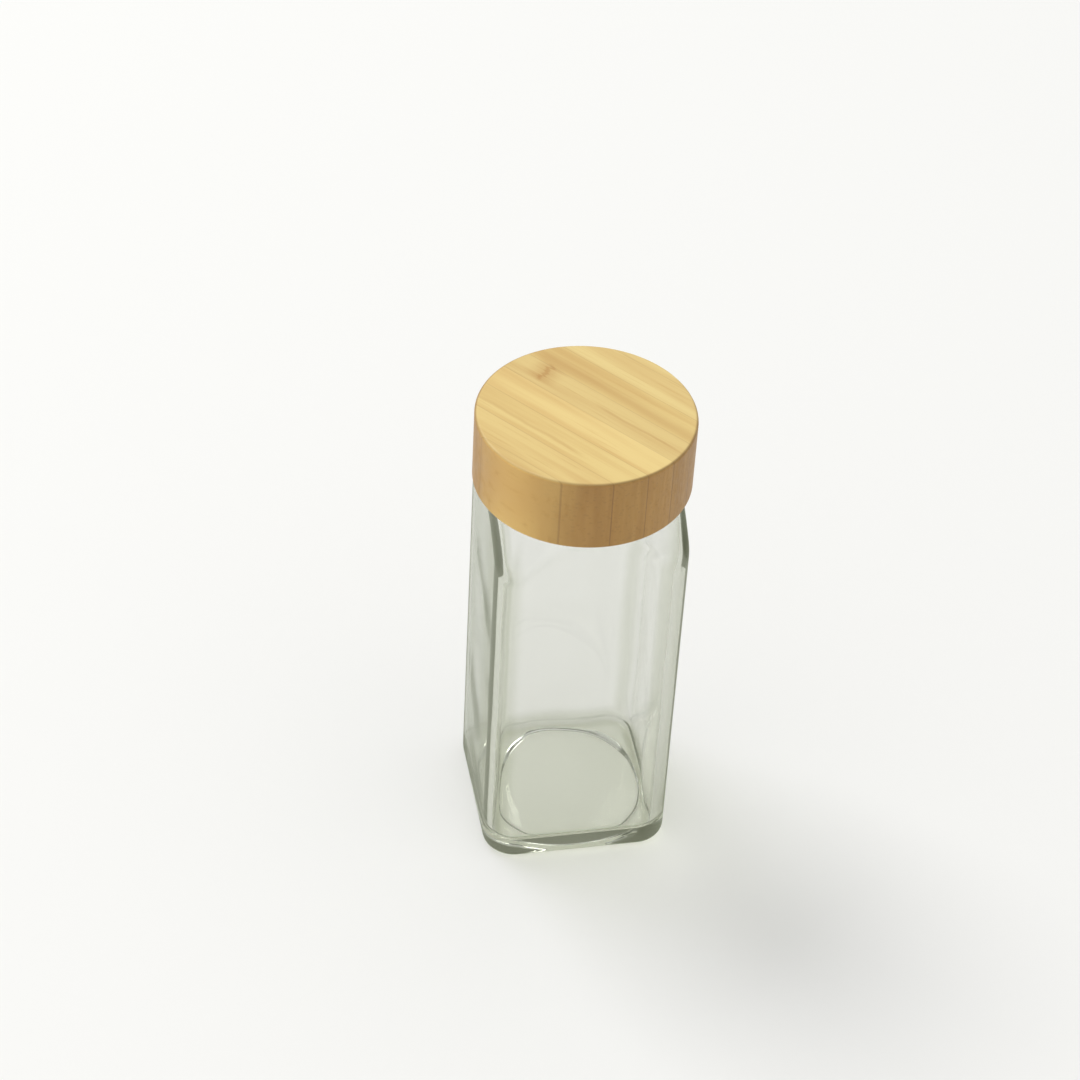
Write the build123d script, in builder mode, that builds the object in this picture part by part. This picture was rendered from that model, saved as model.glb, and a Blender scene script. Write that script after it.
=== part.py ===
from build123d import *
from math import atan2, cos, sqrt, tan
import os

# Square glass spice jar with a round bamboo screw lid, in millimetres.
# The jar stands on z = 0 with its axis on Z, and one flat panel faces -Y.

# Glass body
body_width = 42.8
body_corner_radius = 7.2
wall_thickness = 2.5
inner_corner_radius = 5.2
heel_radius = 2.2
inner_heel_chamfer = 1.8
floor_thickness = 4.0
stand_width = 0.8
push_up_step = 0.8
push_up_crown = 1.0

# Shoulder: a leaning cone takes the square body's corners in and leaves an arch on each panel
shoulder_height = 96.2
shoulder_drop = 10.8
shoulder_shelf = 2.3
shoulder_chamfer = 1.0
inner_shoulder_chamfer = 1.2
bore_root_chamfer = 0.8

# Neck
neck_inset = 2.6
neck_height = 12.2
neck_wall = 2.7
rim_chamfer = 0.6
bead_reach = 0.9
bead_width = 1.8
bead_slope = 60.0
bead_lift = 1.3

# Shaker fitment pressed into the neck
flange_setback = 0.3
flange_thickness = 0.9
skirt_clearance = 0.08
skirt_wall = 1.1
skirt_tail = 1.2
skirt_lead_in = 0.5
grid_recess = 5.2
grid_thickness = 1.0
sift_hole_radius = 1.8
sift_ring_radius = 8.6
sift_ring_count = 6

# Seal disc
seal_thickness = 1.0
seal_clearance = 0.3

# Threaded insert glued inside the bamboo
insert_neck_clearance = 0.4
insert_wall = 1.1
insert_roof = 1.1
insert_setback = 0.3
insert_mouth_chamfer = 0.5
glue_gap = 0.1

# Bamboo lid
bamboo_wall = 2.7
bamboo_roof = 2.6
lid_gap = 0.4
lid_edge_chamfer = 0.5
lid_mouth_chamfer = 0.4

# One overrun serves every cut that has to pass a face
overrun = 2.0

# Places that follow from the sizes above
half_width = body_width / 2
neck_radius = half_width - neck_inset
corner_reach = (half_width - body_corner_radius) * sqrt(2) + body_corner_radius
corner_break_height = shoulder_height - shoulder_drop
lean = atan2(corner_reach - neck_radius - shoulder_shelf, shoulder_drop)
inner_width = body_width - 2 * wall_thickness
push_up_radius = half_width - heel_radius - stand_width
inner_shoulder_height = shoulder_height - wall_thickness
rim_height = shoulder_height + neck_height
bead_radius = neck_radius + bead_reach
bore_radius = neck_radius - neck_wall
flange_radius = neck_radius - flange_setback
flange_top = rim_height + flange_thickness
skirt_radius = bore_radius - skirt_clearance
cup_radius = skirt_radius - skirt_wall
grid_top = rim_height - grid_recess
skirt_bottom = grid_top - grid_thickness - skirt_tail
seal_top = flange_top + seal_thickness
insert_bore_radius = bead_radius + insert_neck_clearance
insert_radius = insert_bore_radius + insert_wall
insert_top = seal_top + insert_roof
seal_radius = insert_bore_radius - seal_clearance
recess_radius = insert_radius + glue_gap
lid_radius = recess_radius + bamboo_wall
lid_bottom = shoulder_height + lid_gap
lid_top = insert_top + bamboo_roof
insert_bottom = lid_bottom + insert_setback


def shoulder_radius(height, inset):
    # Radius of the leaning shoulder cone at a height, moved in by a glass thickness
    return corner_reach - (height - corner_break_height) * tan(lean) - inset / cos(lean)


def shoulder_envelope(top, inset, edge_chamfer):
    # The round solid that trims the square body: a cone on top of a tube, with an eased top edge
    start = corner_break_height - inset
    with BuildPart() as envelope:
        with BuildSketch(Plane.XZ) as section:
            with BuildLine():
                Polyline(
                    (0, -overrun),
                    (shoulder_radius(start, inset) + overrun, -overrun),
                    (shoulder_radius(start, inset) + overrun, start - overrun / tan(lean)),
                    (shoulder_radius(top, inset), top),
                    (0, top),
                    close=True,
                )
            make_face()
            chamfer(section.vertices().group_by(Axis.Y)[-1].sort_by(Axis.X)[-1], length=edge_chamfer)
        revolve(axis=Axis.Z)
    return envelope.part


# Space inside the glass: rounded square with an eased floor edge, the shoulder repeated inside, and the bore
with BuildPart() as cavity:
    with BuildSketch(Plane.XY.offset(floor_thickness)):
        RectangleRounded(inner_width, inner_width, inner_corner_radius)
    extrude(amount=inner_shoulder_height - floor_thickness)
    chamfer(cavity.faces().sort_by(Axis.Z)[0].edges(), length=inner_heel_chamfer)
    add(shoulder_envelope(inner_shoulder_height, wall_thickness, inner_shoulder_chamfer), mode=Mode.INTERSECT)
    with BuildSketch(Plane.XY.offset(inner_shoulder_height)):
        Circle(bore_radius)
    extrude(amount=neck_height + wall_thickness + overrun)
    bore_root = cavity.edges().filter_by(GeomType.CIRCLE).filter_by_position(
        Axis.Z, inner_shoulder_height, inner_shoulder_height
    )
    chamfer(bore_root.sort_by(SortBy.RADIUS)[0], length=bore_root_chamfer)

# Blown glass jar: square body, arched panels, round neck with a transfer bead, pushed-up base
with BuildPart() as glass_jar:
    with BuildSketch():
        RectangleRounded(body_width, body_width, body_corner_radius)
    extrude(amount=shoulder_height)
    fillet(glass_jar.faces().sort_by(Axis.Z)[0].edges(), radius=heel_radius)
    add(shoulder_envelope(shoulder_height, 0, shoulder_chamfer), mode=Mode.INTERSECT)
    with BuildSketch(Plane.XY.offset(shoulder_height)):
        Circle(neck_radius)
    extrude(amount=neck_height)
    with BuildSketch(Plane.XZ):
        with Locations((neck_radius, shoulder_height + bead_lift + bead_width / 2)):
            Trapezoid(bead_width, bead_reach, bead_slope, rotation=-90, align=(Align.CENTER, Align.MIN))
    revolve(axis=Axis.Z)
    add(cavity.part, mode=Mode.SUBTRACT)
    with BuildSketch(Plane.XZ):
        with BuildLine():
            Polyline(
                (-push_up_radius, push_up_step),
                (-push_up_radius, -overrun),
                (push_up_radius, -overrun),
                (push_up_radius, push_up_step),
            )
            ThreePointArc(
                (push_up_radius, push_up_step),
                (0, push_up_step + push_up_crown),
                (-push_up_radius, push_up_step),
            )
        make_face()
        split(bisect_by=Plane.YZ)
    revolve(axis=Axis.Z, mode=Mode.SUBTRACT)
    chamfer(glass_jar.faces().sort_by(Axis.Z)[-1].edges(), length=rim_chamfer)
glass_jar.part.label = "glass_jar"

# Shaker fitment: flange on the rim, skirt down the bore and a sunk grid with sifting holes
with BuildPart() as shaker_insert:
    with BuildSketch(Plane.XZ) as profile:
        with BuildLine():
            Polyline(
                (0, grid_top),
                (cup_radius, grid_top),
                (cup_radius, flange_top),
                (flange_radius, flange_top),
                (flange_radius, rim_height),
                (skirt_radius, rim_height),
                (skirt_radius, skirt_bottom),
                (cup_radius, skirt_bottom),
                (cup_radius, grid_top - grid_thickness),
                (0, grid_top - grid_thickness),
                close=True,
            )
        make_face()
        outer_foot = profile.vertices().group_by(Axis.Y)[0].sort_by(Axis.X)[-1]
        chamfer(outer_foot, length=skirt_lead_in)
    revolve(axis=Axis.Z)
    with BuildSketch(Plane.XY.offset(grid_top)):
        Circle(sift_hole_radius)
        with PolarLocations(sift_ring_radius, sift_ring_count):
            Circle(sift_hole_radius)
    extrude(amount=-grid_thickness, mode=Mode.SUBTRACT)
shaker_insert.part.label = "shaker_insert"

# Seal disc clamped between the flange and the roof of the threaded insert
with BuildPart() as seal_disc:
    with BuildSketch(Plane.XY.offset(flange_top)):
        Circle(seal_radius)
    extrude(amount=seal_thickness)
seal_disc.part.label = "seal_disc"

# Threaded insert: a thin cap with its roof on the seal
with BuildPart() as threaded_insert:
    with BuildSketch(Plane.XY.offset(insert_bottom)):
        Circle(insert_radius)
    extrude(amount=insert_top - insert_bottom)
    with BuildSketch(Plane.XY.offset(insert_bottom)):
        Circle(insert_bore_radius)
    extrude(amount=seal_top - insert_bottom, mode=Mode.SUBTRACT)
    chamfer(threaded_insert.edges().group_by(Axis.Z)[0].sort_by(SortBy.RADIUS)[0], length=insert_mouth_chamfer)
threaded_insert.part.label = "threaded_insert"

# Bamboo lid: turned disc with a flat-bottomed recess
with BuildPart() as bamboo_lid:
    with BuildSketch(Plane.XY.offset(lid_bottom)):
        Circle(lid_radius)
    extrude(amount=lid_top - lid_bottom)
    chamfer(bamboo_lid.faces().sort_by(Axis.Z)[-1].edges(), length=lid_edge_chamfer)
    with BuildSketch(Plane.XY.offset(lid_bottom)):
        Circle(recess_radius)
    extrude(amount=insert_top - lid_bottom, mode=Mode.SUBTRACT)
    chamfer(bamboo_lid.edges().group_by(Axis.Z)[0].sort_by(SortBy.RADIUS)[-1], length=lid_mouth_chamfer)
bamboo_lid.part.label = "bamboo_lid"

os.makedirs("parts", exist_ok=True)
export_step(glass_jar.part, "parts/glass_jar.step")
export_step(shaker_insert.part, "parts/shaker_insert.step")
export_step(seal_disc.part, "parts/seal_disc.step")
export_step(threaded_insert.part, "parts/threaded_insert.step")
export_step(bamboo_lid.part, "parts/bamboo_lid.step")
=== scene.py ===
import math

import bmesh
import bpy
import numpy as np
from mathutils import Matrix, Vector


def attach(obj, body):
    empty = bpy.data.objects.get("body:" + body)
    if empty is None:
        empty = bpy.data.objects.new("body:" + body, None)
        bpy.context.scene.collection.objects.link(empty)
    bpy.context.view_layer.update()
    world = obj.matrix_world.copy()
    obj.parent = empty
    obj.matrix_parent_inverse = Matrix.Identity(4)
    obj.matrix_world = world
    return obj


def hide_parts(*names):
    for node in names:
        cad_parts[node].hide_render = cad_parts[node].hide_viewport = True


# A square glass spice jar with a round bamboo lid, standing alone on a pale table.
# Lengths of the pieces are millimetres, as a maker would measure them.
# Lengths in the materials and the room are metres, and angles are degrees.

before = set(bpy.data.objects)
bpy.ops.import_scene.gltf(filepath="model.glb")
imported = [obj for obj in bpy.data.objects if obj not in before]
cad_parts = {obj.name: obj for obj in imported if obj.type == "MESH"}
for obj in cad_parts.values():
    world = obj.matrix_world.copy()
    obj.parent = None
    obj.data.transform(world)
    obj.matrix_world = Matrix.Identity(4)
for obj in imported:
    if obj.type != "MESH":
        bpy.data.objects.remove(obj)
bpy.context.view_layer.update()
mm = 0.001
around = 360


# Mesh helpers

def directions(count, gather):
    # Directions round the axis, gathered towards the corners of a square by a share
    turn = np.arange(count) / count * 2 * math.pi
    angle = turn + gather * np.sin(4 * turn)
    return np.cos(angle), np.sin(angle), angle


def squareReach(cosine, sine, half, corner):
    # Distance from the axis to a rounded square, in each direction
    big = np.maximum(abs(cosine), abs(sine))
    small = np.minimum(abs(cosine), abs(sine))
    flat = half / big
    core = half - corner
    inside = np.clip(corner * corner - (core * (big - small)) ** 2, 0, None)
    bend = core * (big + small) + np.sqrt(inside)
    return np.where(flat * small <= core, flat, bend)


def softLeast(first, second, blend):
    # The smaller of two distances, eased over where they meet
    near = np.clip(blend - abs(first - second), 0, None) / blend
    return np.minimum(first, second) - near * near * blend / 4


def levelRing(cosine, sine, distance, z):
    # Points at one height; the distance from the axis is one value or one for each direction
    distance = np.zeros(len(cosine)) + distance
    return np.stack([cosine * distance, sine * distance, np.zeros(len(cosine)) + z], axis=1)


def ringsToObject(name, rings, startPole, endPole):
    # Closes a stack of rings into one skin, with a point at each end
    count = len(rings[0])
    points = [tuple(p) for ring in rings for p in ring]
    faces = []
    for level in range(len(rings) - 1):
        low, high = level * count, (level + 1) * count
        for i in range(count):
            j = (i + 1) % count
            faces.append((low + i, low + j, high + j, high + i))
    last = (len(rings) - 1) * count
    start, end = len(points), len(points) + 1
    points += [startPole, endPole]
    faces += [(start, (i + 1) % count, i) for i in range(count)]
    faces += [(last + i, last + (i + 1) % count, end) for i in range(count)]
    mesh = bpy.data.meshes.new(name)
    mesh.from_pydata([(x * mm, y * mm, z * mm) for x, y, z in points], [], faces)
    work = bmesh.new()
    work.from_mesh(mesh)
    bmesh.ops.recalc_face_normals(work, faces=work.faces)
    work.to_mesh(mesh)
    work.free()
    mesh.polygons.foreach_set("use_smooth", [True] * len(mesh.polygons))
    obj = bpy.data.objects.new(name, mesh)
    bpy.context.scene.collection.objects.link(obj)
    return obj


def lathe(name, profile, count):
    # Turns a profile of radius and height about the axis, closed by a point at each end
    cosine, sine, _ = directions(count, 0.0)
    rings = [levelRing(cosine, sine, x, z) for x, z in profile]
    return ringsToObject(name, rings, (0, 0, profile[0][1]), (0, 0, profile[-1][1]))


def arc(centreX, centreZ, radius, start, stop, steps):
    # Points of a circular fillet in a profile
    turns = [math.radians(start + (stop - start) * i / steps) for i in range(steps + 1)]
    return [(centreX + radius * math.cos(a), centreZ + radius * math.sin(a)) for a in turns]


def spread(start, stop, step):
    # Evenly spaced values from start to stop, both included
    count = max(1, int(round(abs(stop - start) / step)))
    return [start + (stop - start) * i / count for i in range(count + 1)]


def helixRidge(angle, z, thread):
    # How far a screw ridge stands up at an angle and a height
    height = np.zeros_like(angle)
    for turn in range(-1, 4):
        along = (angle % (2 * math.pi)) / (2 * math.pi) + turn
        fade = np.clip(np.minimum(along, thread["turns"] - along) / thread["runOut"], 0, 1)
        middle = thread["start"] + along * thread["pitch"]
        away = abs(z - middle) / (thread["width"] / 2)
        shape = np.clip(thread["steepness"] * (1 - away), 0, 1)
        shape = shape * shape * (3 - 2 * shape)
        height = np.maximum(height, shape * fade * (3 - 2 * fade) * fade)
    return height * thread["height"]


# Shader helpers

class Shader:
    # Short names for adding nodes and joining them, in a material or in the world
    def __init__(self, owner):
        owner.use_nodes = True
        self.owner = owner
        self.tree = owner.node_tree
        self.surface = self.tree.nodes.get("Principled BSDF")
        self.output = self.tree.nodes.get("Material Output")

    def add(self, kind, **settings):
        node = self.tree.nodes.new(kind)
        for key, value in settings.items():
            setattr(node, key, value)
        return node

    def put(self, socket, value):
        if isinstance(value, bpy.types.NodeSocket):
            self.tree.links.new(value, socket)
        else:
            socket.default_value = value

    def math(self, operation, first, second=0.0):
        node = self.add("ShaderNodeMath", operation=operation)
        self.put(node.inputs[0], first)
        self.put(node.inputs[1], second)
        return node.outputs[0]

    def ease(self, value, low, high, fromValue=0.0, toValue=1.0):
        node = self.add("ShaderNodeMapRange", interpolation_type="SMOOTHSTEP")
        for socket, given in zip(node.inputs, (value, low, high, fromValue, toValue)):
            self.put(socket, given)
        return node.outputs[0]

    def mix(self, factor, first, second, blend="MIX"):
        node = self.add("ShaderNodeMix", data_type="RGBA", blend_type=blend)
        self.put(node.inputs[0], factor)
        self.put(node.inputs[6], first)
        self.put(node.inputs[7], second)
        return node.outputs[2]

    def choose(self, factor, first, second):
        # One of two whole surfaces, or a mixture of them
        node = self.add("ShaderNodeMixShader")
        self.put(node.inputs[0], factor)
        self.put(node.inputs[1], first.outputs[0])
        self.put(node.inputs[2], second.outputs[0])
        return node

    def join(self, x, y, z):
        node = self.add("ShaderNodeCombineXYZ")
        for socket, value in zip(node.inputs, (x, y, z)):
            self.put(socket, value)
        return node.outputs[0]

    def split(self, vector):
        node = self.add("ShaderNodeSeparateXYZ")
        self.put(node.inputs[0], vector)
        return node.outputs

    def turned(self, vector, angle):
        node = self.add("ShaderNodeVectorRotate", rotation_type="Z_AXIS")
        self.put(node.inputs["Vector"], vector)
        node.inputs["Angle"].default_value = -math.radians(angle)
        return node.outputs[0]

    def noise(self, where, scale, detail=2.0, rough=0.5):
        node = self.add("ShaderNodeTexNoise")
        self.put(node.inputs["Vector"], where)
        node.inputs["Scale"].default_value = scale
        node.inputs["Detail"].default_value = detail
        node.inputs["Roughness"].default_value = rough
        return node.outputs[0]

    def sway(self, where, reach, scale, detail, rough):
        # Noise that swings about zero
        centred = self.math("SUBTRACT", self.noise(where, scale, detail, rough), 0.5)
        return self.math("MULTIPLY", centred, reach)

    def away(self, value, centre):
        return self.math("ABSOLUTE", self.math("SUBTRACT", value, centre))

    def bump(self, height, distance, strength):
        node = self.add("ShaderNodeBump")
        self.put(node.inputs["Height"], height)
        node.inputs["Distance"].default_value = distance
        node.inputs["Strength"].default_value = strength
        self.put(self.surface.inputs["Normal"], node.outputs[0])


def clearGlass():
    # Thick soda glass with a faint grey-green cast; light passes through it to the table
    look = {
        # One tone here is painted shade, laid on the corners, the sides next to the front and the heel
        "tint": (0.972, 0.974, 0.966, 1), "paintedShadeTone": (0.72, 0.74, 0.65, 1), "shade": (0.87, 0.875, 0.85, 1),
        "body": (0.775, 0.785, 0.73, 1), "thickening": 90.0, "settledGlowTone": (0.36, 0.37, 0.315, 1), "bounces": 3.5,
        "index": 1.5, "polish": 0.0,
        "cornerZone": (0.0152, 0.018), "cornerShare": 0.55,
        "sideZone": (0.0176, 0.0187), "sideDepth": (-0.012, 0.004), "sideShare": 0.75,
        "heelZone": (0.0165, 0.0188), "heelHeight": (0.0045, 0.0085), "heelShare": 0.7,
    }
    s = Shader(bpy.data.materials.new("clearGlass"))
    # Painted shade and reflection: the upright corners, the sides next to the front and the heel are tinted a
    # little darker, standing in for the dark edges the glass shows
    x, y, z = s.split(s.add("ShaderNodeTexCoord").outputs["Object"])
    sideways, deepways = s.math("ABSOLUTE", x), s.math("ABSOLUTE", y)
    corner = s.ease(s.math("MINIMUM", sideways, deepways), *look["cornerZone"], 0.0, look["cornerShare"])
    forward = s.ease(y, *look["sideDepth"], look["sideShare"], 0.0)
    beside = s.math("MULTIPLY", s.ease(sideways, *look["sideZone"]), forward)
    low = s.ease(z, *look["heelHeight"], look["heelShare"], 0.0)
    heel = s.math("MULTIPLY", s.ease(s.math("MAXIMUM", sideways, deepways), *look["heelZone"]), low)
    paintedShade = s.math("MAXIMUM", s.math("MAXIMUM", corner, beside), heel)
    s.put(s.surface.inputs["Base Color"], s.mix(paintedShade, look["tint"], look["paintedShadeTone"]))
    s.surface.inputs["Roughness"].default_value = look["polish"]
    s.surface.inputs["IOR"].default_value = look["index"]
    s.surface.inputs["Transmission Weight"].default_value = 1.0
    through = s.add("ShaderNodeBsdfTransparent")
    through.inputs[0].default_value = look["shade"]
    path = s.add("ShaderNodeLightPath")
    glass = s.choose(path.outputs["Is Shadow Ray"], s.surface, through)
    # Painted glow: light that has wandered a long way inside the glass settles to one soft glowing tone, in
    # place of the light further bounces would gather
    paintedGlow = s.add("ShaderNodeEmission")
    paintedGlow.inputs[0].default_value = look["settledGlowTone"]
    last = s.choose(s.math("GREATER_THAN", path.outputs["Glossy Depth"], look["bounces"]), glass, paintedGlow)
    s.put(s.output.inputs["Surface"], last.outputs[0])
    # The longer the way through the glass, the greener and darker it gets
    depth = s.add("ShaderNodeVolumeAbsorption")
    depth.inputs["Color"].default_value = look["body"]
    depth.inputs["Density"].default_value = look["thickening"]
    s.put(s.output.inputs["Volume"], depth.outputs[0])
    return s.owner


def bamboo():
    # Glued bamboo strips: long fibres on the faces, dotted ends, a knuckle and thin glue lines
    look = {
        "grainTurn": -50.8, "strip": 0.0071, "firstSeam": 0.0, "shift": 0.7, "warmth": 0.2,
        "pale": (0.82, 0.62, 0.245, 1), "warm": (0.70, 0.475, 0.17, 1), "streak": (0.52, 0.285, 0.08, 1),
        "gloss": 0.42, "glossSpread": 0.16, "glossZone": (0.3, 0.8),
        "sideTone": (1.25, 1.12, 0.91, 1), "sideZone": (0.3, 0.8), "relief": 0.00006, "strength": 0.5,
        # Fibres and broader bands: drawn out along the strip, moved from strip to strip
        "fibres": {
            "along": 0.035, "up": 0.3, "scale": 1500, "detail": 3, "rough": 0.6,
            "zone": (0.52, 0.85), "share": 0.42,
        },
        "bands": {"along": 0.06, "up": 0.1, "scale": 330, "detail": 2, "rough": 0.5, "zone": (0.35, 0.75)},
        # Tone of the strips from one side to the other, each from its near edge
        "reach": 0.024, "outerTone": (0.88, 0.86, 0.84, 1),
        "tones": (
            (-0.0213, (0.90, 0.885, 0.87, 1)), (-0.0142, (0.93, 0.93, 0.92, 1)),
            (-0.0071, (0.965, 0.965, 0.97, 1)), (0.0, (0.885, 0.88, 0.885, 1)),
            (0.0071, (0.89, 0.875, 0.845, 1)), (0.0142, (0.95, 0.985, 1.03, 1)),
        ),
        # One knuckle: place along and across the grain, half width, and a ragged line in a soft cloud
        "knuckle": {
            "tone": (0.50, 0.245, 0.055, 1), "along": -0.0152, "across": 0.0046, "halfWidth": 0.0036,
            "sides": (0.6, 1.05), "line": (0.0002, 0.0011, 0.3, 0.0), "cloud": (0.0, 0.0055, 0.42, 0.0),
            "drift": (0.003, 160, 2, 0.5), "ragged": (0.007, 620, 3, 0.6),
        },
        # Darker streaks: place across the grain, half width, begin and end along it
        "streaks": (
            (0.0090, 0.0030, -0.024, 0.030), (0.0035, 0.0006, -0.002, 0.024),
            (-0.0115, 0.0008, -0.03, 0.01),
        ),
        "streakFade": 0.006, "streakShare": 0.38, "streakDrift": 0.3,
        # Cut ends: pores in darker and lighter layers
        "ends": {
            "tone": (0.33, 0.185, 0.052, 1), "light": (0.43, 0.262, 0.085, 1), "pore": (0.16, 0.085, 0.03, 1),
            "zone": (0.02, 0.72), "share": 0.9, "poreScale": 1150, "poreZone": (0.12, 0.42, 0.22, 0.0),
            "up": 0.08, "scale": 700, "detail": 2, "layerZone": (0.35, 0.7), "layerShare": 0.5,
        },
        # Glue lines: faint on top, and on the side from faint to strong along the grain
        "seams": {
            "tone": (0.17, 0.08, 0.03, 1), "width": (0.006, 0.024), "onTop": 0.14, "onSide": 0.4,
            "faintSide": 0.12, "zone": (0.004, 0.018), "groove": 2.0,
        },
    }
    fibres, bands, knuckle = look["fibres"], look["bands"], look["knuckle"]
    ends, seams = look["ends"], look["seams"]
    s = Shader(bpy.data.materials.new("bamboo"))
    place = s.add("ShaderNodeTexCoord").outputs["Object"]
    along, across, height = s.split(s.turned(place, look["grainTurn"]))
    toObject = s.add("ShaderNodeVectorTransform", vector_type="NORMAL")
    toObject.convert_from, toObject.convert_to = "WORLD", "OBJECT"
    s.put(toObject.inputs[0], s.add("ShaderNodeNewGeometry").outputs["Normal"])
    faceAlong, _, faceUp = s.split(s.turned(toObject.outputs[0], look["grainTurn"]))
    endOn = s.ease(s.math("ABSOLUTE", faceAlong), *ends["zone"])
    upright = s.ease(s.math("ABSOLUTE", faceUp), *look["sideZone"], 1.0, 0.0)
    position = s.math("DIVIDE", s.math("SUBTRACT", across, look["firstSeam"]), look["strip"])
    index = s.math("FLOOR", position)
    within = s.math("SUBTRACT", position, index)
    dice = s.add("ShaderNodeTexWhiteNoise", noise_dimensions="1D")
    s.put(dice.inputs["W"], index)
    chance = dice.outputs["Value"]
    moved = s.math("ADD", across, s.math("MULTIPLY", chance, look["shift"]))

    def grain(kind):
        # Noise drawn out along the strip
        far, high = s.math("MULTIPLY", along, kind["along"]), s.math("MULTIPLY", height, kind["up"])
        return s.noise(s.join(far, moved, high), kind["scale"], kind["detail"], kind["rough"])

    fibre = grain(fibres)
    body = s.mix(s.ease(grain(bands), *bands["zone"]), look["pale"], look["warm"])
    body = s.mix(s.math("MULTIPLY", chance, look["warmth"]), body, look["warm"])
    body = s.mix(s.ease(fibre, *fibres["zone"], 0.0, fibres["share"]), body, look["streak"])
    drift = s.sway(place, *knuckle["drift"])
    ragged = s.sway(s.join(0.0, across, 0.0), *knuckle["ragged"])
    away = s.away(s.math("ADD", along, s.math("ADD", drift, ragged)), knuckle["along"])
    mark = s.math("ADD", s.ease(away, *knuckle["line"]), s.ease(away, *knuckle["cloud"]))
    inner, outer = (knuckle["halfWidth"] * share for share in knuckle["sides"])
    mark = s.math("MULTIPLY", mark, s.ease(s.away(across, knuckle["across"]), inner, outer, 1.0, 0.0))
    body = s.mix(mark, body, knuckle["tone"])
    wandering = s.math("ADD", across, s.math("MULTIPLY", drift, look["streakDrift"]))
    for side, halfWidth, begin, end in look["streaks"]:
        rise = s.ease(along, begin, begin + look["streakFade"])
        fall = s.ease(along, end - look["streakFade"], end, 1.0, 0.0)
        beside = s.ease(s.away(wandering, side), 0.0, halfWidth, look["streakShare"], 0.0)
        body = s.mix(s.math("MULTIPLY", beside, s.math("MULTIPLY", rise, fall)), body, look["streak"])
    pores = s.add("ShaderNodeTexVoronoi", feature="F1")
    s.put(pores.inputs["Vector"], s.join(0.0, across, height))
    pores.inputs["Scale"].default_value = ends["poreScale"]
    upwards = s.join(0.0, across, s.math("MULTIPLY", height, ends["up"]))
    layers = s.noise(upwards, ends["scale"], ends["detail"])
    lighter = s.ease(layers, *ends["layerZone"], 0.0, ends["layerShare"])
    cut = s.mix(lighter, ends["tone"], ends["light"])
    cut = s.mix(s.ease(pores.outputs["Distance"], *ends["poreZone"]), cut, ends["pore"])
    colour = s.mix(s.math("MULTIPLY", endOn, ends["share"]), body, cut)
    ramp = s.add("ShaderNodeValToRGB")
    ramp.color_ramp.interpolation = "CONSTANT"
    stops = ramp.color_ramp.elements
    stops[0].color = look["outerTone"]
    for side, tone in look["tones"]:
        stops.new((side + look["reach"]) / (2 * look["reach"])).color = tone
    stops.remove(stops[-1])
    s.put(ramp.inputs[0], s.math("DIVIDE", s.math("ADD", across, look["reach"]), 2 * look["reach"]))
    colour = s.mix(1.0, colour, ramp.outputs[0], "MULTIPLY")
    colour = s.mix(upright, colour, s.mix(1.0, colour, look["sideTone"], "MULTIPLY"))
    edge = s.math("MINIMUM", within, s.math("SUBTRACT", 1.0, within))
    onSide = s.ease(along, *seams["zone"], seams["faintSide"], seams["onSide"])
    strength = s.ease(upright, 0.0, 1.0, seams["onTop"], onSide)
    line = s.math("MULTIPLY", s.ease(edge, *seams["width"], 1.0, 0.0), strength)
    s.put(s.surface.inputs["Base Color"], s.mix(line, colour, seams["tone"]))
    rough = s.ease(fibre, *look["glossZone"], look["gloss"], look["gloss"] + look["glossSpread"])
    s.put(s.surface.inputs["Roughness"], rough)
    surface = s.math("SUBTRACT", fibre, s.math("MULTIPLY", line, seams["groove"]))
    s.bump(surface, look["relief"], look["strength"])
    return s.owner


def plastic(name, colour, rough, cloudy):
    # Moulded plastic with a soft unevenness in its tone and gloss
    look = {
        "scale": 900, "detail": 3, "rough": 0.55, "zone": (0.3, 0.7), "duller": 0.93, "share": 0.25,
        "glossSpread": 0.12, "depth": (0.002, 0.002, 0.002), "relief": 0.00003, "strength": 0.4,
    }
    s = Shader(bpy.data.materials.new(name))
    place = s.add("ShaderNodeTexCoord").outputs["Object"]
    grain = s.noise(place, look["scale"], look["detail"], look["rough"])
    dull = tuple(c * look["duller"] for c in colour[:3]) + (1,)
    tone = s.mix(s.ease(grain, *look["zone"], 0.0, look["share"]), colour, dull)
    s.put(s.surface.inputs["Base Color"], tone)
    s.put(s.surface.inputs["Roughness"], s.ease(grain, *look["zone"], rough, rough + look["glossSpread"]))
    s.surface.inputs["Subsurface Weight"].default_value = cloudy
    s.surface.inputs["Subsurface Radius"].default_value = look["depth"]
    s.bump(grain, look["relief"], look["strength"])
    return s.owner


# Glass jar

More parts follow.
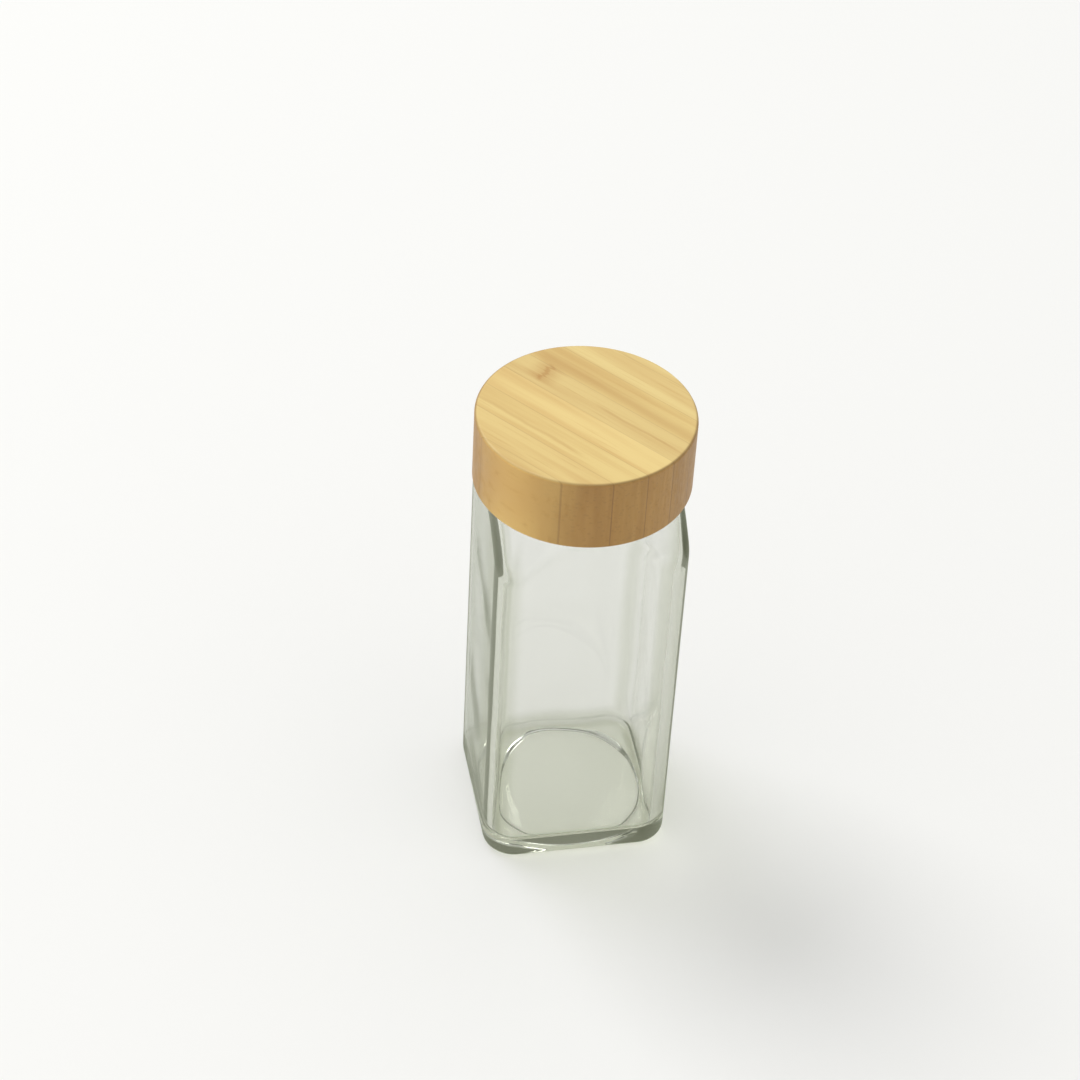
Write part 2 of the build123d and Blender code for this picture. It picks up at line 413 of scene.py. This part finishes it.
def glassJar():
    size = {
        "half": 21.4, "corner": 7.2, "wall": 2.5, "innerCorner": 5.2, "heel": 2.2, "innerHeel": 2.0,
        "straight": 80.0, "floor": 4.0, "pushUp": 18.4, "pushUpStep": 0.8, "pushUpCrown": 1.0,
        "stepRound": 0.3, "breakHeight": 85.4, "lean": 29.787, "shoulder": 96.2, "shoulderRound": 1.3,
        "innerRound": 1.5, "neck": 18.8, "bore": 16.1, "rim": 108.4, "rimRound": 0.8, "root": 0.6,
        "boreRoot": 0.8, "beadAt": 98.4, "beadHalf": 0.9, "beadReach": 0.86, "soft": 1.0,
        "thread": {
            "start": 100.6, "pitch": 4.0, "turns": 1.3, "runOut": 0.09, "width": 2.1, "height": 0.72,
            "steepness": 1.6,
        },
        # Distances between the rings of points, and their places where they aren't even
        "rows": {
            "gather": 0.12, "crown": 0.9, "body": 2.6, "shoulder": 0.4, "neck": 0.16, "bore": 0.8,
            "innerShoulder": 0.5, "innerBody": 2.0, "step": ((0.08, 0.7), (0.16, 0.3)),
            "stand": (0.35, 0.7), "floor": (0.97, 0.93, 0.87, 0.8, 0.72, 0.63, 0.53, 0.42, 0.3, 0.18, 0.07),
        },
        # Slow unevenness of the blown inside: waves round the jar, climb, strength and start of each
        "ripple": {
            "waves": ((3, 0.11, 1.0, 1), (7, -0.23, 0.6, 2), (2, 0.31, 0.5, 3)),
            "wall": 0.06, "wallSeed": 1.3, "fade": 12.0,
            "floor": 0.10, "floorSeed": 0.4, "floorClimb": 22.0, "floorGain": 3,
        },
    }
    # The small offsets in the heights below keep a row clear of the end of a rounding
    thread, rows, ripple = size["thread"], size["rows"], size["ripple"]
    cosine, sine, angle = directions(around, rows["gather"])
    lean = math.radians(size["lean"])
    reach = (size["half"] - size["corner"]) * math.sqrt(2) + size["corner"]
    rings = []

    def cone(z, inset):
        return reach - (z - size["breakHeight"]) * math.tan(lean) - inset / math.cos(lean)

    def square(half, corner):
        return squareReach(cosine, sine, half, corner)

    def ring(distance, z):
        rings.append(levelRing(cosine, sine, distance, z))

    def trimmed(half, corner, limit, z):
        ring(softLeast(square(half, corner), np.zeros(around) + limit, size["soft"]), z)

    def wave(z, seed):
        total = sum(strength * np.sin(turns * angle + z * climb + start * seed)
                    for turns, climb, strength, start in ripple["waves"])
        return total / sum(strength for _, _, strength, _ in ripple["waves"])

    # Pushed-up base, the ring that the jar stands on, and the heel
    for radius in spread(rows["crown"], size["pushUp"], rows["crown"]):
        ring(radius, size["pushUpStep"] + size["pushUpCrown"] * (1 - (radius / size["pushUp"]) ** 2))
    for out, share in rows["step"]:
        ring(size["pushUp"] + out, size["pushUpStep"] * share)
    stand = size["pushUp"] + size["stepRound"]
    ring(stand, 0.0)
    flatHalf = size["half"] - size["heel"]
    for share in rows["stand"]:
        ring(stand * (1 - share) + square(flatHalf, size["corner"] - size["heel"]) * share, 0.0)
    for x, z in arc(flatHalf, size["heel"], size["heel"], -90, 0, 9):
        ring(square(x, size["corner"] - size["half"] + x), z)

    # Body and leaning shoulder
    for z in spread(size["heel"] + 1, size["straight"], rows["body"]):
        ring(square(size["half"], size["corner"]), z)
    roundZ = size["shoulder"] - size["shoulderRound"]
    roundX = cone(roundZ, 0) - size["shoulderRound"] / math.cos(lean)
    startZ = roundZ + size["shoulderRound"] * math.sin(lean)
    for z in spread(size["straight"] + 0.4, startZ - 0.3, rows["shoulder"]):
        trimmed(size["half"], size["corner"], cone(z, 0), z)
    for x, z in arc(roundX, roundZ, size["shoulderRound"], size["lean"], 90, 14):
        trimmed(size["half"], size["corner"], x, z)

    # Neck with its bead and thread, and the rim
    root = size["root"]
    ring(size["neck"] + root + 0.1, size["shoulder"])
    for x, z in arc(size["neck"] + root, size["shoulder"] + root, root, 270, 180, 4):
        ring(x, z)
    for z in spread(size["shoulder"] + root + 0.15, size["rim"] - size["rimRound"], rows["neck"]):
        bead = max(0.0, 1 - ((z - size["beadAt"]) / size["beadHalf"]) ** 2) ** 0.5 * size["beadReach"]
        ring(size["neck"] + bead + helixRidge(angle, z, thread), z)
    rimZ = size["rim"] - size["rimRound"]
    for x, z in arc(size["neck"] - size["rimRound"], rimZ, size["rimRound"], 12, 90, 6):
        ring(x, z)
    for x, z in arc(size["bore"] + size["rimRound"], rimZ, size["rimRound"], 90, 180, 7):
        ring(x, z)

    # Bore and the inside of the shoulder
    innerTop = size["shoulder"] - size["wall"]
    boreRoot = size["boreRoot"]
    for z in spread(rimZ - 0.6, innerTop + boreRoot, rows["bore"]):
        ring(size["bore"], z)
    for x, z in arc(size["bore"] + boreRoot, innerTop + boreRoot, boreRoot, 190, 270, 6):
        ring(x, z)
    innerHalf = size["half"] - size["wall"]
    innerZ = innerTop - size["innerRound"]
    innerX = cone(innerZ, size["wall"]) - size["innerRound"] / math.cos(lean)
    for x, z in arc(innerX, innerZ, size["innerRound"], 90, size["lean"], 10):
        trimmed(innerHalf, size["innerCorner"], x, z)
    topZ = innerZ + size["innerRound"] * math.sin(lean) - 0.4
    for z in spread(topZ, size["straight"] - 2, rows["innerShoulder"]):
        trimmed(innerHalf, size["innerCorner"], cone(z, size["wall"]), z)

    # Inner walls and floor
    heelZ = size["floor"] + size["innerHeel"]
    for z in spread(size["straight"] - 4, heelZ + 0.5, rows["innerBody"]):
        fade = min(1.0, (size["straight"] - 2 - z) / ripple["fade"])
        swell = wave(z, ripple["wallSeed"]) * ripple["wall"] * fade
        ring(square(innerHalf, size["innerCorner"]) + swell, z)
    swayAtHeel = wave(heelZ, ripple["wallSeed"]) * ripple["wall"]
    for x, z in arc(innerHalf - size["innerHeel"], heelZ, size["innerHeel"], 0, -90, 9):
        edge = square(x, size["innerCorner"] - innerHalf + x)
        ring(edge + swayAtHeel * (z - size["floor"]) / size["innerHeel"], z)
    for share in rows["floor"]:
        lift = wave(share * ripple["floorClimb"], ripple["floorSeed"]) * ripple["floor"]
        ring(edge * share, size["floor"] + lift * share * (1 - share) * ripple["floorGain"])

    crown = size["pushUpStep"] + size["pushUpCrown"]
    jar = ringsToObject("glassJar", rings, (0, 0, crown), (0, 0, size["floor"]))
    jar.data.materials.append(clearGlass())
    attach(jar, "jar")
    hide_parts("glass_jar")
    return jar


# Bamboo lid

def bambooLid():
    size = {
        "radius": 24.0, "bottom": 96.6, "top": 114.0, "edge": 0.7, "mouth": 0.4, "recess": 21.3,
        "roof": 111.4,
        "rows": {"count": 288, "first": 1.5, "top": 2.0, "side": 1.5, "recess": 2.0, "roof": 3.0},
    }
    rows = size["rows"]
    radius, edge, mouth, recess = size["radius"], size["edge"], size["mouth"], size["recess"]
    bottom, top, roof = size["bottom"], size["top"], size["roof"]
    profile = [(x, top) for x in spread(rows["first"], radius - edge - 0.25, rows["top"])]
    profile += arc(radius - edge, top - edge, edge, 88, 2, 8)
    profile += [(radius, z) for z in spread(top - edge - 0.2, bottom + mouth + 0.2, rows["side"])]
    profile += arc(radius - mouth, bottom + mouth, mouth, -2, -88, 5)
    profile += [(radius - mouth - 0.15, bottom), (recess + 0.5, bottom)]
    profile += [(recess + 0.3, bottom), (recess, bottom + 0.3)]
    profile += [(recess, z) for z in spread(bottom + 0.6, roof - 0.2, rows["recess"])]
    profile += [(recess, roof)]
    profile += [(x, roof) for x in spread(recess - 0.3, rows["first"], rows["roof"])]
    lid = lathe("bambooLid", profile, rows["count"])
    lid.data.materials.append(bamboo())
    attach(lid, "lid")
    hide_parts("bamboo_lid")
    return lid


# Threaded insert

def threadedInsert():
    size = {
        "radius": 21.2, "bore": 20.1, "bottom": 96.9, "roofUnder": 110.3, "top": 111.38, "edge": 0.6,
        "mouth": 0.5,
        "thread": {
            "start": 102.6, "pitch": 4.0, "turns": 1.3, "runOut": 0.09, "width": 1.5, "height": 0.8,
            "steepness": 1.6,
        },
        "rows": {"first": 1.5, "roof": 2.5, "side": 2.0, "thread": 0.16},
        "look": {"colour": (0.80, 0.79, 0.76, 1), "rough": 0.28, "cloudy": 0.15},
    }
    thread, rows = size["thread"], size["rows"]
    radius, bore, edge, mouth = size["radius"], size["bore"], size["edge"], size["mouth"]
    bottom, top, under = size["bottom"], size["top"], size["roofUnder"]
    cosine, sine, angle = directions(around, 0.0)
    profile = [(x, top) for x in spread(rows["first"], radius - edge - 0.2, rows["roof"])]
    profile += arc(radius - edge, top - edge, edge, 88, 2, 6)
    profile += [(radius, z) for z in spread(top - edge - 0.3, bottom + 0.2, rows["side"])]
    profile += [(radius - 0.08, bottom), (bore + mouth + 0.08, bottom)]
    profile += [(bore + mouth, bottom + 0.04), (bore + 0.05, bottom + mouth)]
    for z in spread(bottom + mouth + 0.1, under - 0.2, rows["thread"]):
        profile.append((bore - helixRidge(angle, z, thread), z))
    profile += [(bore, under - 0.06), (bore - 0.06, under)]
    profile += [(x, under) for x in spread(bore - 0.6, rows["first"], rows["roof"])]
    rings = [levelRing(cosine, sine, x, z) for x, z in profile]
    insert = ringsToObject("threadedInsert", rings, (0, 0, top), (0, 0, under))
    insert.data.materials.append(plastic("whitePolypropylene", **size["look"]))
    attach(insert, "lid")
    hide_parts("threaded_insert")
    return insert


# Seal disc

def sealDisc():
    size = {
        "radius": 19.78, "bottom": 109.32, "top": 110.28, "edge": 0.25,
        "rows": {"count": 192, "first": 1.5, "face": 3.0},
        "look": {"colour": (0.76, 0.75, 0.71, 1), "rough": 0.6, "cloudy": 0.1},
    }
    rows = size["rows"]
    rim, edge, bottom, top = size["radius"] - size["edge"], size["edge"], size["bottom"], size["top"]
    profile = [(x, top) for x in spread(rows["first"], rim - 0.2, rows["face"])]
    profile += arc(rim, top - edge, edge, 88, 2, 4)
    profile += arc(rim, bottom + edge, edge, -2, -88, 4)
    profile += [(x, bottom) for x in spread(rim - 0.3, rows["first"], rows["face"])]
    seal = lathe("sealDisc", profile, rows["count"])
    seal.data.materials.append(plastic("foamLiner", **size["look"]))
    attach(seal, "seal")
    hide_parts("seal_disc")
    return seal


# Shaker

def shakerInsert():
    size = {
        "flange": 18.5, "flangeTop": 109.3, "rim": 108.4, "skirt": 16.02, "cup": 14.92, "bottom": 101.0,
        "gridTop": 103.2, "gridUnder": 102.2, "hole": 1.8, "holeRing": 8.6, "holes": 6, "holeSides": 40,
        "holeCut": 3, "lip": 0.3, "cupRound": 0.5, "sharp": 40,
        "rows": {"count": 192, "first": 1.5, "grid": 2.2, "cup": 1.2, "skirt": 1.5},
        "look": {"colour": (0.74, 0.765, 0.755, 1), "rough": 0.36, "cloudy": 0.3},
    }
    rows = size["rows"]
    flange, skirt, cup, lip = size["flange"], size["skirt"], size["cup"], size["lip"]
    flangeTop, rim, bottom = size["flangeTop"], size["rim"], size["bottom"]
    gridTop, gridUnder, cupRound = size["gridTop"], size["gridUnder"], size["cupRound"]
    profile = [(x, gridTop) for x in spread(rows["first"], cup - 0.7, rows["grid"])]
    profile += arc(cup - cupRound, gridTop + cupRound, cupRound, -80, 0, 5)
    profile += [(cup, z) for z in spread(gridTop + 0.9, flangeTop - lip - 0.1, rows["cup"])]
    profile += arc(cup + lip, flangeTop - lip, lip, 176, 90, 4)
    profile += arc(flange - lip, flangeTop - lip, lip, 90, 4, 4)
    profile += [(flange, rim + 0.12), (flange - 0.1, rim + 0.02)]
    profile += [(skirt + 0.3, rim + 0.02), (skirt + 0.02, rim - 0.02)]
    profile += [(skirt, z) for z in spread(rim - 0.3, bottom + 0.6, rows["skirt"])]
    profile += [(skirt - 0.45, bottom + 0.05), (skirt - 0.52, bottom)]
    profile += [(cup + 0.08, bottom), (cup, bottom + 0.08)]
    profile += [(cup, gridUnder - 0.1), (cup - 0.1, gridUnder)]
    profile += [(x, gridUnder) for x in spread(cup - 0.7, rows["first"], rows["grid"])]
    shaker = lathe("shakerInsert", profile, rows["count"])

    # The sifting holes: one in the middle and a ring of them
    work = bmesh.new()
    places = [(0.0, 0.0)]
    for i in range(size["holes"]):
        a = 2 * math.pi * i / size["holes"]
        places.append((size["holeRing"] * math.cos(a), size["holeRing"] * math.sin(a)))
    for x, y in places:
        where = Matrix.Translation(Vector((x, y, (gridTop + gridUnder) / 2)) * mm)
        bmesh.ops.create_cone(work, cap_ends=True, segments=size["holeSides"], radius1=size["hole"] * mm,
                              radius2=size["hole"] * mm, depth=size["holeCut"] * mm, matrix=where)
    cutterMesh = bpy.data.meshes.new("siftHoles")
    work.to_mesh(cutterMesh)
    work.free()
    cutter = bpy.data.objects.new("siftHoles", cutterMesh)
    bpy.context.scene.collection.objects.link(cutter)
    cut = shaker.modifiers.new("holes", "BOOLEAN")
    cut.object = cutter
    cut.operation = "DIFFERENCE"
    cut.solver = "EXACT"
    bpy.context.view_layer.update()
    done = bpy.data.meshes.new_from_object(shaker.evaluated_get(bpy.context.evaluated_depsgraph_get()))
    shaker.modifiers.clear()
    shaker.data = done
    bpy.data.objects.remove(cutter)
    done.polygons.foreach_set("use_smooth", [True] * len(done.polygons))
    done.set_sharp_from_angle(angle=math.radians(size["sharp"]))
    done.materials.clear()
    done.materials.append(plastic("naturalPolyethylene", **size["look"]))
    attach(shaker, "shaker")
    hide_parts("shaker_insert")
    return shaker


print("glass")
glassJar()
print("lid")
bambooLid()
threadedInsert()
sealDisc()
print("shaker")
shakerInsert()


# Table, light and camera

def paleTable():
    look = {
        "table": (0.86, 0.86, 0.85, 1), "paintedReflection": (0.36, 0.38, 0.31, 1), "rough": 0.6,
        "halfWidth": 4.0, "below": 0.00004, "fade": (0.6, 2.0),
    }
    w, z = look["halfWidth"], -look["below"]
    mesh = bpy.data.meshes.new("table")
    mesh.from_pydata([(-w, -w, z), (w, -w, z), (w, w, z), (-w, w, z)], [], [(0, 1, 2, 3)])
    table = bpy.data.objects.new("table", mesh)
    bpy.context.scene.collection.objects.link(table)
    s = Shader(bpy.data.materials.new("paleTable"))
    # Painted reflection: in mirror rays off the steep sides of the glass the table shows a darker tone, as a
    # dark card beside the jar would
    path = s.add("ShaderNodeLightPath")
    paintedReflection = s.math("SUBTRACT", path.outputs["Is Singular Ray"], path.outputs["Is Transmission Ray"])
    s.put(s.surface.inputs["Base Color"], s.mix(paintedReflection, look["table"], look["paintedReflection"]))
    s.surface.inputs["Roughness"].default_value = look["rough"]
    # Far from the jar the table gives way to the backdrop, so that no edge shows behind a low view
    away = s.add("ShaderNodeVectorMath", operation="LENGTH")
    s.put(away.inputs[0], s.add("ShaderNodeTexCoord").outputs["Object"])
    fade = s.math("MULTIPLY", s.ease(away.outputs["Value"], *look["fade"]), path.outputs["Is Camera Ray"])
    last = s.choose(fade, s.surface, s.add("ShaderNodeBsdfTransparent"))
    s.put(s.output.inputs["Surface"], last.outputs[0])
    mesh.materials.append(s.owner)


def roomLight():
    # The light comes mostly from above; through glass, the room is white with a dark panel on each side
    look = {
        "low": (0.27, 0.272, 0.268, 1), "overhead": (0.86, 0.86, 0.85, 1), "rise": (0.05, 0.8),
        "backdrop": (0.93, 0.93, 0.925, 1), "glassRoom": (0.80, 0.81, 0.80, 1),
        "panel": (0.05, 0.052, 0.048, 1), "sideTurn": -12.8, "panelFrom": (0.45, 0.62),
        "panelFoot": (-0.02, 0.03), "panelTop": (0.5, 0.62),
    }
    world = bpy.data.worlds.new("room")
    bpy.context.scene.world = world
    s = Shader(world)
    back = s.tree.nodes["Background"]
    sideways, _, up = s.split(s.turned(s.add("ShaderNodeTexCoord").outputs["Generated"], look["sideTurn"]))
    light = s.mix(s.ease(up, *look["rise"]), look["low"], look["overhead"])
    beside = s.ease(s.math("ABSOLUTE", sideways), *look["panelFrom"])
    upward = s.math("MULTIPLY", s.ease(up, *look["panelFoot"]), s.ease(up, *look["panelTop"], 1.0, 0.0))
    path = s.add("ShaderNodeLightPath")
    panel = s.math("MULTIPLY", s.math("MULTIPLY", beside, upward), path.outputs["Is Transmission Ray"])
    seen = s.mix(panel, look["glassRoom"], look["panel"])
    byGlass = s.math("MAXIMUM", path.outputs["Is Glossy Ray"], path.outputs["Is Transmission Ray"])
    colour = s.mix(byGlass, light, seen)
    colour = s.mix(path.outputs["Is Camera Ray"], colour, look["backdrop"])
    s.put(back.inputs[0], colour)
    back.inputs[1].default_value = 1.0


def window():
    # One soft square lamp, behind the jar to the left and high up
    light = {
        "place": (-1.5, 1.9, 3.5), "aim": (0, 0, 0.03), "side": 1.9,
        "power": 82.0, "colour": (1.0, 0.995, 0.98),
    }
    data = bpy.data.lights.new("window", "AREA")
    data.shape = "RECTANGLE"
    data.size = light["side"]
    data.size_y = light["side"]
    data.energy = light["power"]
    data.color = light["colour"]
    obj = bpy.data.objects.new("window", data)
    obj.location = light["place"]
    obj.rotation_euler = (Vector(light["aim"]) - Vector(light["place"])).to_track_quat("-Z", "Y").to_euler()
    bpy.context.scene.collection.objects.link(obj)


def camera():
    # Where the photograph was taken from: the lid's place before the lens, then the jar's own turn
    view = {
        "lidX": 8.4, "lidY": 499.8, "height": 511.7, "pitch": 40.99, "roll": 3.284, "jarTurn": 12.3,
        "lens": 99.667, "sensor": 36, "near": 0.01, "far": 30,
    }
    pitch, roll, turn = (math.radians(view[k]) for k in ("pitch", "roll", "jarTurn"))
    forward = Vector((0, math.cos(pitch), -math.sin(pitch)))
    right = Vector((1, 0, 0))
    down = forward.cross(right)
    rolledRight = right * math.cos(roll) - down * math.sin(roll)
    rolledDown = right * math.sin(roll) + down * math.cos(roll)
    axes = Matrix((rolledRight, -rolledDown, -forward)).transposed()
    toJar = Matrix.Rotation(-turn, 3, "Z")
    data = bpy.data.cameras.new("camera")
    data.lens = view["lens"]
    data.sensor_width = view["sensor"]
    data.clip_start = view["near"]
    data.clip_end = view["far"]
    obj = bpy.data.objects.new("camera", data)
    obj.matrix_world = (toJar @ axes).to_4x4()
    obj.location = toJar @ Vector((-view["lidX"] * mm, -view["lidY"] * mm, view["height"] * mm))
    bpy.context.scene.collection.objects.link(obj)
    bpy.context.scene.camera = obj


print("room")
paleTable()
roomLight()
window()
camera()
bpy.context.scene.view_settings.view_transform = "Standard"
